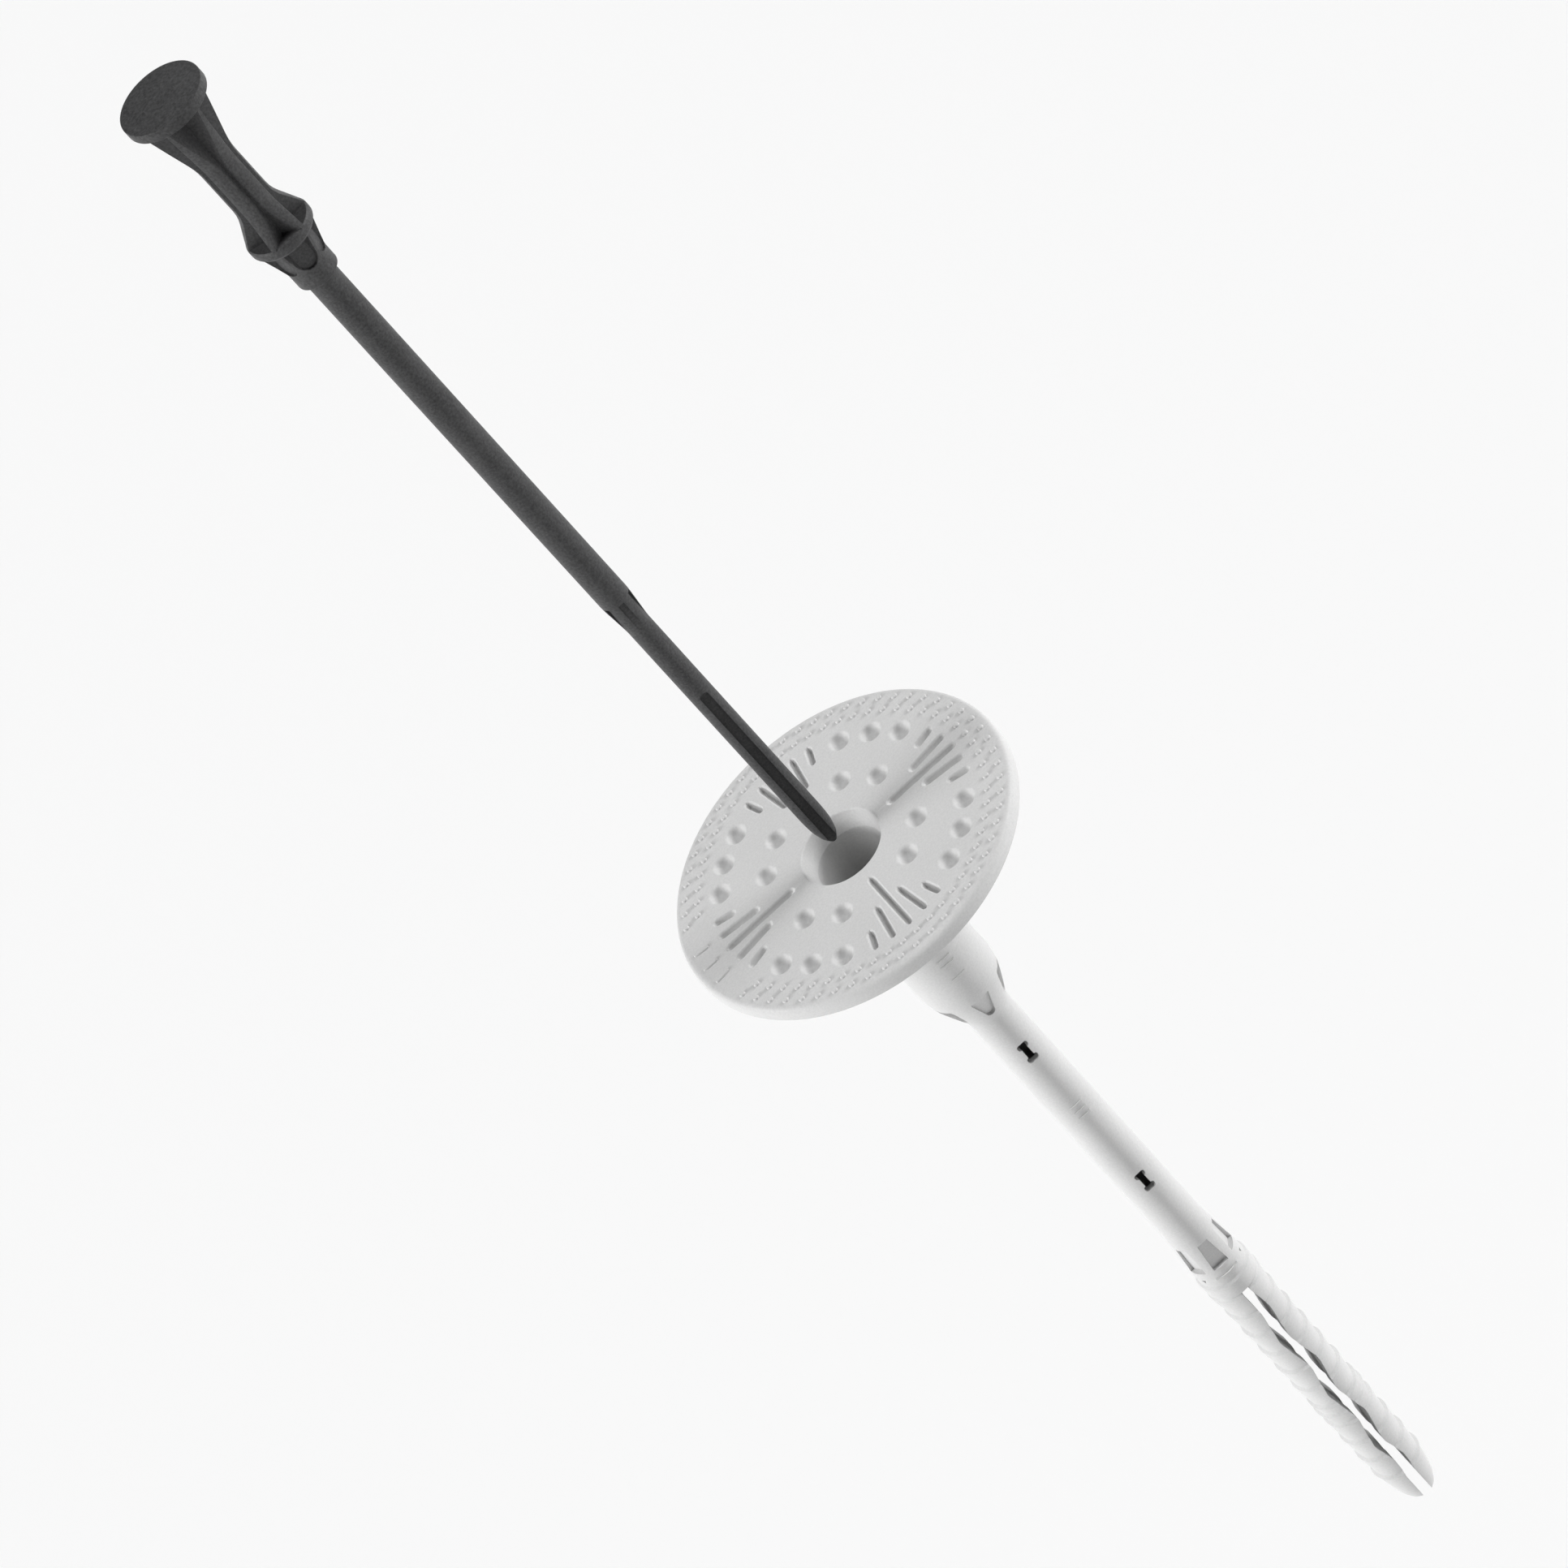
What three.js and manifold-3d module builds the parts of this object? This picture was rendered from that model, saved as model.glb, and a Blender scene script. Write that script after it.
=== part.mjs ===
// Hammer-in wall anchor for insulation board: a plastic sleeve with a round
// pressure plate and a two-legged expansion zone, and the plastic pin that is
// driven through it. Millimetres, +Z up. The sleeve's axis is Z, its tip points
// down, and the origin is the centre of the plate's underside, where it meets
// the board. The pin stands drawn out above the plate, ready to be driven.
import * as THREE from 'three';
import { mergeVertices } from 'three/addons/utils/BufferGeometryUtils.js';
import Module from 'manifold-3d';

const wasm = await Module();
wasm.setup();

// Driving dimensions. A depth is measured down from the plate's front face.
const plate = { radius: 30, thickness: 2.8, frontRound: 1, backRound: 0.4 };
const mouth = { radius: 7.1, end: 3.3 };
const hub = { fillet: 0.35, end: 3.9 };
const collar = { radius: 6.85, bore: 6, shoulder: 35.2, boreEnd: 34 };
const taper = { top: 38, topRadius: 6.5, end: 45.2, boreEnd: 44.5 };
const shank = { radius: 3.93, bore: 2.75, flareStart: 112, end: 127.7, endRadius: 4.72 };
const ring = { crest: 129.1, end: 131.4, radius: 5.05 };
const legs = { root: 128, length: 72, radius: 4.78, valley: 4.6, taperStart: 189, tipRadius: 1.5 };
const barbs = { first: 134.6, pitch: 6, count: 10, rise: 0.4 };
const lockRing = { depth: 167, radius: 4.98 };
const slit = { halfGap: 0.97, rootHalfGap: 0.73, swing: 0.6, firstPeak: 135.4, halfPitch: 8.7 };
const flex = { angle: 0.0227, boreRadius: 2.2, pinch: 0.0204 };
const pin = { length: 180, shaftRadius: 2.5, thinRadius: 2, tipClearance: 2 };
const head = { radius: 6.65, thickness: 1.7, chamfer: 0.2 };
const split = 0.3;

const depth = (d) => plate.thickness - d;
const pinTop = plate.thickness + pin.tipClearance + pin.length;
const along = (s) => pinTop - s;
const degrees = THREE.MathUtils.degToRad;

// A closed three.js geometry as a solid to cut and join.
function solid(geometry) {
  geometry.deleteAttribute('normal');
  geometry.deleteAttribute('uv');
  const shared = mergeVertices(geometry, 1e-4);
  const vertProperties = new Float32Array(shared.attributes.position.array);
  const corner = (i) => new THREE.Vector3().fromArray(vertProperties, 3 * i);
  const triVerts = [];
  let volume = 0;
  for (let i = 0; i < shared.index.count; i += 3) {
    const [a, b, c] = shared.index.array.slice(i, i + 3);
    if (a === b || b === c || c === a) continue;
    triVerts.push(a, b, c);
    volume += corner(a).dot(corner(b).cross(corner(c)));
  }
  if (volume < 0) triVerts.reverse();
  const mesh = new wasm.Mesh({ numProp: 3, vertProperties, triVerts: new Uint32Array(triVerts) });
  return new wasm.Manifold(mesh);
}

// Turns a closed [radius, z] outline about the Z axis.
function turned(outline, segments) {
  const points = outline.map(([r, z]) => new THREE.Vector2(r, z));
  return solid(new THREE.LatheGeometry(points, segments).rotateX(Math.PI / 2));
}

// A tube from a closed [radius, z] outline that stays off the axis.
const tube = (outline, segments) => turned([...outline, outline[0]], segments);

// A flat [x, y] outline extruded along +Z, then placed by a matrix.
function prism(outline, length, matrix = new THREE.Matrix4()) {
  const shape = new THREE.Shape(outline.map(([x, y]) => new THREE.Vector2(x, y)));
  const geometry = new THREE.ExtrudeGeometry(shape, { depth: length, bevelEnabled: false });
  return solid(geometry.applyMatrix4(matrix));
}

// Points of an arc, centre and angles in degrees, both ends included.
function arc(cx, cy, radius, from, to, steps) {
  return Array.from({ length: steps + 1 }, (_, i) => {
    const angle = degrees(from + ((to - from) * i) / steps);
    return [cx + radius * Math.cos(angle), cy + radius * Math.sin(angle)];
  });
}

const turnAboutZ = (angle) => new THREE.Matrix4().makeRotationZ(degrees(angle));
const moved = (x, y, z) => new THREE.Matrix4().makeTranslation(x, y, z);

// Local axes in the columns: x, y and z directions, and the origin.
function framed(xAxis, yAxis, zAxis, origin) {
  return new THREE.Matrix4().makeBasis(xAxis, yAxis, zAxis).setPosition(origin);
}

// Repeats a cutter about Z and cuts it from the body each time.
function cutRound(body, angles, cutter) {
  return angles.reduce((rest, angle) => rest.subtract(cutter(turnAboutZ(angle))), body);
}

const every = (step, start = 0) => Array.from({ length: 360 / step }, (_, i) => start + i * step);

// ---- pressure plate: a disc with a funnel mouth, a short hub, dimples and grooves ----
const dimple = { radius: 1.75, depth: 1.2, innerRing: 13.35, outerRing: 21.7 };
const groove = { width: 1, depth: 0.5, end: 23.6, starts: [9.7, 15.8, 19.5], spread: 8 };

function dimpleCutter(matrix, distance) {
  const sphere = (dimple.radius ** 2 + dimple.depth ** 2) / (2 * dimple.depth);
  const ball = new THREE.SphereGeometry(sphere, 12, 8);
  ball.translate(distance, 0, plate.thickness + sphere - dimple.depth);
  return solid(ball.applyMatrix4(matrix));
}

function grooveCutter(matrix, start) {
  const half = groove.width / 2;
  const outline = [
    ...arc(groove.end - half, 0, half, -90, 90, 4),
    ...arc(start + half, 0, half, 90, 270, 4),
  ];
  const floor = moved(0, 0, plate.thickness - groove.depth);
  return prism(outline, 2 * groove.depth, matrix.multiply(floor));
}

function pressurePlate() {
  const { radius, thickness, frontRound, backRound } = plate;
  const top = arc(radius - frontRound, thickness - frontRound, frontRound, 90, 0, 3);
  let body = tube([
    [mouth.radius, thickness],
    ...top,
    [radius, backRound],
    [radius - backRound, 0],
    [collar.radius + hub.fillet, 0],
    [collar.radius, -hub.fillet],
    [collar.radius, depth(hub.end)],
    [collar.bore, depth(hub.end)],
    [collar.bore, depth(mouth.end)],
  ], 72);
  for (const quarter of every(90)) {
    const inner = [30, 60].map((a) => quarter + a);
    const outer = [30, 45, 60].map((a) => quarter + a);
    body = cutRound(body, inner, (m) => dimpleCutter(m, dimple.innerRing));
    body = cutRound(body, outer, (m) => dimpleCutter(m, dimple.outerRing));
    groove.starts.forEach((start, i) => {
      const pair = i === 0 ? [0] : [-i * groove.spread, i * groove.spread];
      body = cutRound(body, pair.map((a) => quarter + a), (m) => grooveCutter(m, start));
    });
  }
  return body;
}

// ---- funnel collar: the wide tube under the plate and its taper ----
const taperPocket = { top: 37.4, topRadius: 6.6, end: 42.9, endRadius: 4.15, wide: 3.6, narrow: 1.6 };

function taperPocketCutter(matrix) {
  const { top, topRadius, end, endRadius, wide, narrow } = taperPocket;
  const down = new THREE.Vector3(endRadius - topRadius, 0, top - end);
  const length = down.length();
  down.normalize();
  const across = new THREE.Vector3(0, 1, 0);
  const out = down.clone().cross(across);
  const outline = [[0, wide / 2], [0, -wide / 2], ...arc(length - narrow / 2, 0, narrow / 2, -90, 90, 4)];
  const place = framed(down, across, out, new THREE.Vector3(topRadius, 0, depth(top)));
  return prism(outline, collar.radius, matrix.multiply(place));
}

function funnelCollar() {
  const start = hub.end + split;
  const body = tube([
    [collar.radius, depth(start)],
    [collar.radius, depth(collar.shoulder)],
    [6.75, depth(36.8)],
    [taper.topRadius, depth(taper.top)],
    [shank.radius, depth(taper.end)],
    [shank.bore, depth(taper.end)],
    [shank.bore, depth(taper.boreEnd)],
    [collar.bore, depth(collar.boreEnd)],
    [collar.bore, depth(start)],
  ], 48);
  return cutRound(body, every(60, -90), taperPocketCutter);
}

// ---- shank: the long tube with its cored windows and anti-turn pockets ----
const window = { depths: [55.3, 94.3], length: 4.8, lobe: 2, lobeLength: 1.4, bar: 1.1 };
const wedge = { top: 113.9, end: 120.5, floor: 3.45, narrow: 1.9, wide: 3 };
const lip = { depth: 122.5, width: 0.45, radius: 4.75, halfAngle: 29 };

function windowCutter(centre) {
  const { length, lobe, lobeLength, bar } = window;
  const side = [
    [-length / 2, lobe / 3], [-length / 2 + 0.3, lobe / 2],
    [lobeLength - length / 2 - 0.3, lobe / 2], [lobeLength - length / 2, bar / 2],
  ];
  const half = [...side, ...side.map(([x, y]) => [-x, y]).reverse()];
  const outline = [...half, ...half.map(([x, y]) => [x, -y]).reverse()];
  const reach = 2 * shank.radius;
  const place = framed(new THREE.Vector3(0, 0, -1), new THREE.Vector3(1, 0, 0),
    new THREE.Vector3(0, -1, 0), new THREE.Vector3(0, reach / 2, depth(centre)));
  return prism(outline, reach, place);
}

function wedgeCutter(matrix) {
  const length = wedge.end - wedge.top;
  const outline = [[0, wedge.narrow / 2], [0, -wedge.narrow / 2], [length, -wedge.wide / 2], [length, wedge.wide / 2]];
  const place = framed(new THREE.Vector3(0, 0, -1), new THREE.Vector3(0, 1, 0),
    new THREE.Vector3(1, 0, 0), new THREE.Vector3(wedge.floor, 0, depth(wedge.top)));
  return prism(outline, shank.radius, matrix.multiply(place));
}

function lipRib(middle) {
  const { radius, halfAngle, width } = lip;
  const outline = [
    ...arc(0, 0, radius, middle - halfAngle, middle + halfAngle, 6),
    ...arc(0, 0, shank.radius, middle + halfAngle, middle - halfAngle, 6),
  ];
  return prism(outline, width, moved(0, 0, depth(lip.depth + width)));
}

function sleeveShank() {
  const start = taper.end + split;
  let body = tube([
    [shank.bore, depth(start)],
    [shank.radius, depth(start)],
    [shank.radius, depth(shank.flareStart)],
    [4.35, depth(121)],
    [shank.endRadius, depth(shank.end - 1)],
    [shank.endRadius, depth(shank.end)],
    [shank.bore, depth(shank.end)],
  ], 36);
  for (const centre of window.depths) body = body.subtract(windowCutter(centre));
  body = cutRound(body, every(60, -90), wedgeCutter);
  return body.add(lipRib(-90)).add(lipRib(90));
}

// ---- expansion legs: the split end, a barbed half on each side of the slit ----

// The outline of the whole split end, before the slit halves it.
function legOutline() {
  const end = legs.root + legs.length;
  const crests = Array.from({ length: barbs.count }, (_, i) => barbs.first + i * barbs.pitch);
  const profile = [[shank.endRadius, legs.root], [ring.radius, ring.crest], [legs.valley, ring.end]];
  for (const crest of crests) {
    profile.push([legs.valley, crest - barbs.rise], [legs.radius, crest]);
    if (Math.abs(crest + barbs.pitch / 2 - lockRing.depth) < 1) {
      const { depth: middle, radius } = lockRing;
      profile.push([legs.valley, middle - 2 * barbs.rise], [radius, middle], [legs.valley, middle + 1]);
    }
  }
  profile.push([legs.valley, legs.taperStart], [3.55, 196.3], [2.6, 198.6], [legs.tipRadius, end]);
  return [[0, legs.root], ...profile, [0, end]].map(([r, d]) => [r, depth(d)]);
}

// The slit's middle line as [offset, depth], a zigzag that ends in a straight run.
function slitLine() {
  const peaks = Array.from({ length: 6 }, (_, i) => {
    const reach = i === 0 ? 0.4 : slit.swing;
    return [i % 2 ? -reach : reach, slit.firstPeak + i * slit.halfPitch];
  });
  return [[0, legs.root], ...peaks, [0.4, 184.5], [0.3, 187.6], [0, 189.6], [0, legs.root + legs.length]];
}

// One leg: side is +1 towards +X and -1 towards -X.
function expansionLeg(side) {
  const outside = 8;
  const edge = slitLine().map(([offset, d], i) => {
    const gap = i === 0 ? slit.rootHalfGap : slit.halfGap;
    return [offset + side * gap, -depth(d)];
  });
  const below = -depth(legs.root + legs.length + 1);
  const region = [
    [side * outside, edge[0][1] - 1], [edge[0][0], edge[0][1] - 1],
    ...edge, [edge.at(-1)[0], below], [side * outside, below],
  ];
  const place = framed(new THREE.Vector3(1, 0, 0), new THREE.Vector3(0, 0, -1),
    new THREE.Vector3(0, 1, 0), new THREE.Vector3(0, -outside, 0));
  const half = turned(legOutline(), 36).intersect(prism(region, 2 * outside, place));
  const reach = legs.length + 4;
  const bore = new THREE.CylinderGeometry(flex.boreRadius, flex.boreRadius, reach, 24);
  bore.rotateX(Math.PI / 2).translate(0, 0, 2 - reach / 2);
  bore.rotateY(side * flex.pinch).translate(0, 0, depth(legs.root));
  return half.subtract(solid(bore));
}

// ---- drive pin: hammered head, fluted neck, hexagonal collar, long shaft ----
const neck = { topRadius: 5.7, waistStart: 12.5, waist: 3.05, waistEnd: 23, end: 28 };
const flute = { floor: 2.55, slope: 1.1, facetStart: 25, facetEnd: 27.9, facetRadius: 4.7 };
const rim = { radius: 5.3, end: 29.6 };
const foot = { radius: 3.38, coneEnd: 35, end: 38.3, pocketFloor: 3.05, fin: 0.6 };
const step = { start: 116.4, end: 122.6, flat: 1 };
const tip = { slotStart: 139.5, slotWidth: 1.5, web: 1.6, noseStart: 173.5 };

// A V groove along the neck, ended by a facet that climbs to the collar's rim.
function fluteCutter(matrix) {
  const reach = neck.topRadius + 1;
  const half = (reach - flute.floor) * flute.slope;
  const climb = (flute.facetEnd - flute.facetStart) / (flute.facetRadius - flute.floor);
  const corners = [
    [flute.floor, 0, head.thickness],
    [reach, half, head.thickness],
    [reach, -half, head.thickness],
    [flute.floor, 0, flute.facetStart],
    [reach, half, flute.facetStart + (reach - flute.floor) * climb],
    [reach, -half, flute.facetStart + (reach - flute.floor) * climb],
  ];
  const geometry = new THREE.BufferGeometry();
  const position = corners.flatMap(([x, y, s]) => [x, y, along(s)]);
  geometry.setAttribute('position', new THREE.Float32BufferAttribute(position, 3));
  geometry.setIndex([0, 2, 1, 3, 4, 5, 0, 1, 4, 0, 4, 3, 0, 3, 5, 0, 5, 2, 1, 2, 5, 1, 5, 4]);
  return solid(geometry.applyMatrix4(matrix));
}

// The hollow between two fins under the rim, round at its lower end.
function footPocketCutter(matrix) {
  const outer = rim.radius + 1;
  const sector = Math.tan(degrees(30));
  const wide = outer * sector - foot.fin / 2;
  const narrow = foot.pocketFloor * sector - foot.fin / 2;
  const top = rim.end;
  const straight = foot.coneEnd - 1.4 - top;
  const outline = [[0, -narrow], [straight, -narrow], [straight + 1, -narrow / 2],
    [straight + 1.4, 0], [straight + 1, narrow / 2], [straight, narrow], [0, narrow]];
  const place = framed(new THREE.Vector3(0, 0, -1), new THREE.Vector3(0, 1, 0),
    new THREE.Vector3(1, 0, 0), new THREE.Vector3(foot.pocketFloor, 0, along(top)));
  const core = prism(outline, outer - foot.pocketFloor, place);
  const flank = [[foot.pocketFloor, -narrow], [outer, -wide], [outer, wide], [foot.pocketFloor, narrow]];
  const sides = prism(flank, straight, moved(0, 0, along(top + straight)));
  return solidMoved(core.add(sides), matrix);
}

// Moves a finished solid by a matrix.
function solidMoved(body, matrix) {
  return body.transform(matrix.toArray());
}

function stepFlatCutter(matrix) {
  const half = step.flat / 2;
  const flat = [[pin.thinRadius, -half], [pin.shaftRadius + 1, -half], [pin.shaftRadius + 1, half], [pin.thinRadius, half]];
  return solidMoved(prism(flat, step.end - step.start, moved(0, 0, along(step.end))), matrix);
}

// The slot on one side of the thin end; side is +1 or -1 along Y.
function slotCutter(side) {
  const half = tip.slotWidth / 2;
  const start = tip.slotStart + half;
  const end = pin.length + 1;
  const outline = [...arc(0, -start, half, 180, 0, 6), [half, -end], [-half, -end]];
  const place = framed(new THREE.Vector3(1, 0, 0), new THREE.Vector3(0, 0, 1),
    new THREE.Vector3(0, -1, 0), new THREE.Vector3(0, 0, pinTop));
  const cutter = prism(outline, pin.shaftRadius, place);
  const away = side < 0 ? moved(0, -tip.web / 2, 0) : moved(0, pin.shaftRadius + tip.web / 2, 0);
  return solidMoved(cutter, away);
}

function drivePin() {
  const { chamfer } = head;
  const turnedPin = (outline, segments) => turned(outline.map(([r, s]) => [r, along(s)]), segments);
  const headDisc = turnedPin([
    [0, 0], [head.radius - chamfer, 0], [head.radius, chamfer], [head.radius, head.thickness - chamfer],
    [head.radius - chamfer, head.thickness], [0, head.thickness],
  ], 48);
  let neckBody = turnedPin([
    [0, head.thickness], [neck.topRadius, head.thickness], [neck.waist, neck.waistStart],
    [neck.waist, neck.waistEnd], [rim.radius, neck.end], [0, neck.end],
  ], 36);
  neckBody = cutRound(neckBody, every(60, -90), fluteCutter);
  let lower = turnedPin([
    [0, neck.end], [rim.radius, neck.end], [rim.radius, rim.end - 0.3], [rim.radius - 0.4, rim.end],
    [foot.radius, foot.coneEnd], [foot.radius, foot.end - 0.3], [foot.radius - 0.3, foot.end],
    [pin.shaftRadius, foot.end], [pin.shaftRadius, step.start], [pin.thinRadius, step.end],
    [pin.thinRadius, tip.noseStart], [1.85, 176], [1.35, 178.4], [0.5, pin.length], [0, pin.length],
  ], 36);
  lower = cutRound(lower, every(60, -90), footPocketCutter);
  lower = cutRound(lower, every(60, -90), stepFlatCutter);
  for (const side of [-1, 1]) lower = lower.subtract(slotCutter(side));
  return headDisc.add(neckBody).add(lower);
}

// ---- the assembly ----
const sleevePlastic = { color: 0xd3d3d3, roughness: 0.55, metalness: 0 };
const pinPlastic = { color: 0x3c3c3c, roughness: 0.6, metalness: 0 };

function node(name, body, look) {
  const { numProp, vertProperties, triVerts } = body.getMesh();
  const positions = [];
  for (const i of triVerts) positions.push(...vertProperties.slice(i * numProp, i * numProp + 3));
  const geometry = new THREE.BufferGeometry();
  geometry.setAttribute('position', new THREE.Float32BufferAttribute(positions, 3));
  geometry.computeVertexNormals();
  const mesh = new THREE.Mesh(geometry, new THREE.MeshStandardMaterial(look));
  mesh.name = name;
  return mesh;
}

const group = new THREE.Group();
group.add(
  node('pressure_plate', pressurePlate(), sleevePlastic),
  node('funnel_collar', funnelCollar(), sleevePlastic),
  node('sleeve_shank', sleeveShank(), sleevePlastic),
  node('expansion_leg_left', expansionLeg(-1), sleevePlastic),
  node('expansion_leg_right', expansionLeg(1), sleevePlastic),
  node('drive_pin', drivePin(), pinPlastic),
);

export default group;
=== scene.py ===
"""Looks of a hammer-in wall anchor: a split plastic sleeve with a pressure plate, and its drive pin.

Laid out as an add-on: the settings hold the sizes and colours, each operator models one
moulding, and main() runs them in order round the fixed frame.
"""

import math

import bpy
from mathutils import Matrix, Vector


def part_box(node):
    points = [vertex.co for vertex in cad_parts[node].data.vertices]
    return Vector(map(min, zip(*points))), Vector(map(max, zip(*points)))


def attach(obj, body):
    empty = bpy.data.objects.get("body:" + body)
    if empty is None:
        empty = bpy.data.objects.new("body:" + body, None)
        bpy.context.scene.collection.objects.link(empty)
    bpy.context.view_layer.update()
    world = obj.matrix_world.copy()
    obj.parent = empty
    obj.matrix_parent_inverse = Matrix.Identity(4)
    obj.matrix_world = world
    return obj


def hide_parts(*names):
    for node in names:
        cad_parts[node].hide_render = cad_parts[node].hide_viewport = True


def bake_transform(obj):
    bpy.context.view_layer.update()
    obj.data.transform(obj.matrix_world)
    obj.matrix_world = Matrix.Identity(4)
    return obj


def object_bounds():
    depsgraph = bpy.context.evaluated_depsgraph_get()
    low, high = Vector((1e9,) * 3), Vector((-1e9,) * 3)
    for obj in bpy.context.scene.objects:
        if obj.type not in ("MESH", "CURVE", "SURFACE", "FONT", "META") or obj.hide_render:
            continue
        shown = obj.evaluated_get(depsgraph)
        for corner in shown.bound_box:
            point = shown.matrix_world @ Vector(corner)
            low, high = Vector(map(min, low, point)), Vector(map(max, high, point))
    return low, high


bl_info = {
    "name": "Hammer-in Wall Anchor",
    "version": (1, 0, 0),
    "blender": (4, 5, 0),
    "location": "View3D > Sidebar > Anchor",
    "description": "Models the sleeve, the expansion legs and the drive pin of a wall anchor",
    "category": "Add Mesh",
}

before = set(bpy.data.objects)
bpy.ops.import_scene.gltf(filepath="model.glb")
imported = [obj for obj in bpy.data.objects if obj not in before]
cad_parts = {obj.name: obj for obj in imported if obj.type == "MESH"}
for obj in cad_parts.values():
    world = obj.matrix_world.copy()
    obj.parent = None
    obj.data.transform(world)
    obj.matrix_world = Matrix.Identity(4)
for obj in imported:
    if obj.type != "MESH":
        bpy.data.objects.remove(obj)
cad_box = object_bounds()

MM = 0.001
PLATE_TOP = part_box("pressure_plate")[1].z / MM
PLATE_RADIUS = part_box("pressure_plate")[1].x / MM
LEG_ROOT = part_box("expansion_leg_left")[1].z / MM
LEG_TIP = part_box("expansion_leg_left")[0].z / MM
PIN_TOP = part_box("drive_pin")[1].z / MM
PIN_LENGTH = (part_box("drive_pin")[1].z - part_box("drive_pin")[0].z) / MM
HEAD_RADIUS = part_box("drive_pin")[1].x / MM
ROOT_DEPTH = PLATE_TOP - LEG_ROOT
TIP_DEPTH = PLATE_TOP - LEG_TIP
SIXTHS = [math.radians(-90 + 60 * i) for i in range(6)]
FRONT = math.radians(-90)
MERGE = 1e-6

# The sleeve, in millimetres; a depth is measured down from the plate's face.
PLATE_THICKNESS = 2.8
INNER_RING, OUTER_RING, GROOVE_END = 13.35, 21.7, 23.6
WINDOW_DEPTHS = (55.3, 94.3)
LIP_DEPTH = 122.5
ROOT_RADIUS = 4.88
BARB_START, BARB_PITCH, BARB_COUNT = 134.6, 6, 10
LOCK_DEPTH = 167.1
STRAIGHT_START = 189.6

# The pin, in millimetres down from its head.
HEAD_THICKNESS = 1.7
FACET_START, FACET_END = 25, 27.9
FOOT_END = 38.3
STEP_START, STEP_END = 116.4, 122.6


# ---- settings ----

class ANCHOR_PG_sleeve(bpy.types.PropertyGroup):
    """Sizes of the sleeve in millimetres and its plastic"""

    plate_radius: bpy.props.FloatProperty(
        name="Plate radius", description="Radius of the pressure plate, mm", default=PLATE_RADIUS)
    mouth_radius: bpy.props.FloatProperty(
        name="Mouth radius", description="Radius of the funnel at the plate's face, mm", default=7.1)
    collar_radius: bpy.props.FloatProperty(
        name="Collar radius", description="Radius of the wide tube under the plate, mm", default=6.85)
    shank_radius: bpy.props.FloatProperty(
        name="Shank radius", description="Radius of the long tube, mm", default=3.93)
    bore_radius: bpy.props.FloatProperty(
        name="Bore radius", description="Radius of the pin's bore in the shank, mm", default=2.75)
    slit_half_gap: bpy.props.FloatProperty(
        name="Slit half gap", description="Half the width of the zigzag slit, mm", default=0.97)
    barb_radius: bpy.props.FloatProperty(
        name="Barb radius", description="Radius over the barbs of the legs, mm", default=4.86)
    colour: bpy.props.FloatVectorProperty(
        name="Colour", description="Colour of the pale plastic", subtype="COLOR",
        size=3, min=0, max=1, default=(0.635, 0.635, 0.633))


class ANCHOR_PG_pin(bpy.types.PropertyGroup):
    """Sizes of the drive pin in millimetres and its plastic"""

    head_radius: bpy.props.FloatProperty(
        name="Head radius", description="Radius of the hammered head, mm", default=HEAD_RADIUS)
    waist_radius: bpy.props.FloatProperty(
        name="Waist radius", description="Radius of the neck's waist, mm", default=3.05)
    shaft_radius: bpy.props.FloatProperty(
        name="Shaft radius", description="Radius of the long shaft, mm", default=2.5)
    thin_radius: bpy.props.FloatProperty(
        name="Thin end radius", description="Radius of the slotted end, mm", default=2.0)
    colour: bpy.props.FloatVectorProperty(
        name="Colour", description="Colour of the dark plastic", subtype="COLOR",
        size=3, min=0, max=1, default=(0.056, 0.056, 0.057))


class ANCHOR_PG_stage(bpy.types.PropertyGroup):
    """Floor and camera"""

    floor_height: bpy.props.FloatProperty(
        name="Floor height", description="Height of the floor", subtype="DISTANCE", default=-0.3)
    floor_colour: bpy.props.FloatVectorProperty(
        name="Floor colour", description="Colour of the plain floor", subtype="COLOR",
        size=3, min=0, max=1, default=(0.96, 0.96, 0.96))
    lens: bpy.props.FloatProperty(
        name="Lens", description="Focal length of the camera", unit="CAMERA", default=149.0)
    elevation: bpy.props.FloatProperty(
        name="Elevation", description="Camera's height over the horizon", subtype="ANGLE",
        default=math.radians(40.5))
    roll: bpy.props.FloatProperty(
        name="Roll", description="Turn of the camera about its own axis", subtype="ANGLE",
        default=math.radians(42.3))
    distance: bpy.props.FloatProperty(
        name="Distance", description="Camera's distance from its target", unit="LENGTH", default=0.985)


# ---- modelling helpers, sizes in millimetres ----

def start_fresh():
    """Object mode with nothing selected, since an operator acts on all that is."""
    if bpy.context.mode != "OBJECT":
        bpy.ops.object.mode_set(mode="OBJECT")
    bpy.ops.object.select_all(action="DESELECT")


def pick(piece):
    """Selects one piece alone and makes it the active one."""
    start_fresh()
    piece.select_set(True)
    bpy.context.view_layer.objects.active = piece


def soften(outline, steps=4):
    """Rounds the corners of (a, b, reach) points: each arc starts reach before its corner."""
    points = []
    count = len(outline)
    for i, corner in enumerate(outline):
        a, b = corner[0], corner[1]
        reach = corner[2] if len(corner) > 2 else 0
        if not reach:
            points.append((a, b))
            continue
        here = Vector((a, b))
        before = Vector(outline[(i - 1) % count][:2]) - here
        after = Vector(outline[(i + 1) % count][:2]) - here
        first = here + before.normalized() * min(reach, before.length * 0.49)
        last = here + after.normalized() * min(reach, after.length * 0.49)
        for k in range(steps + 1):
            t = k / steps
            spot = first * (1 - t) ** 2 + here * 2 * t * (1 - t) + last * t ** 2
            points.append((spot.x, spot.y))
    return points


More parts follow.
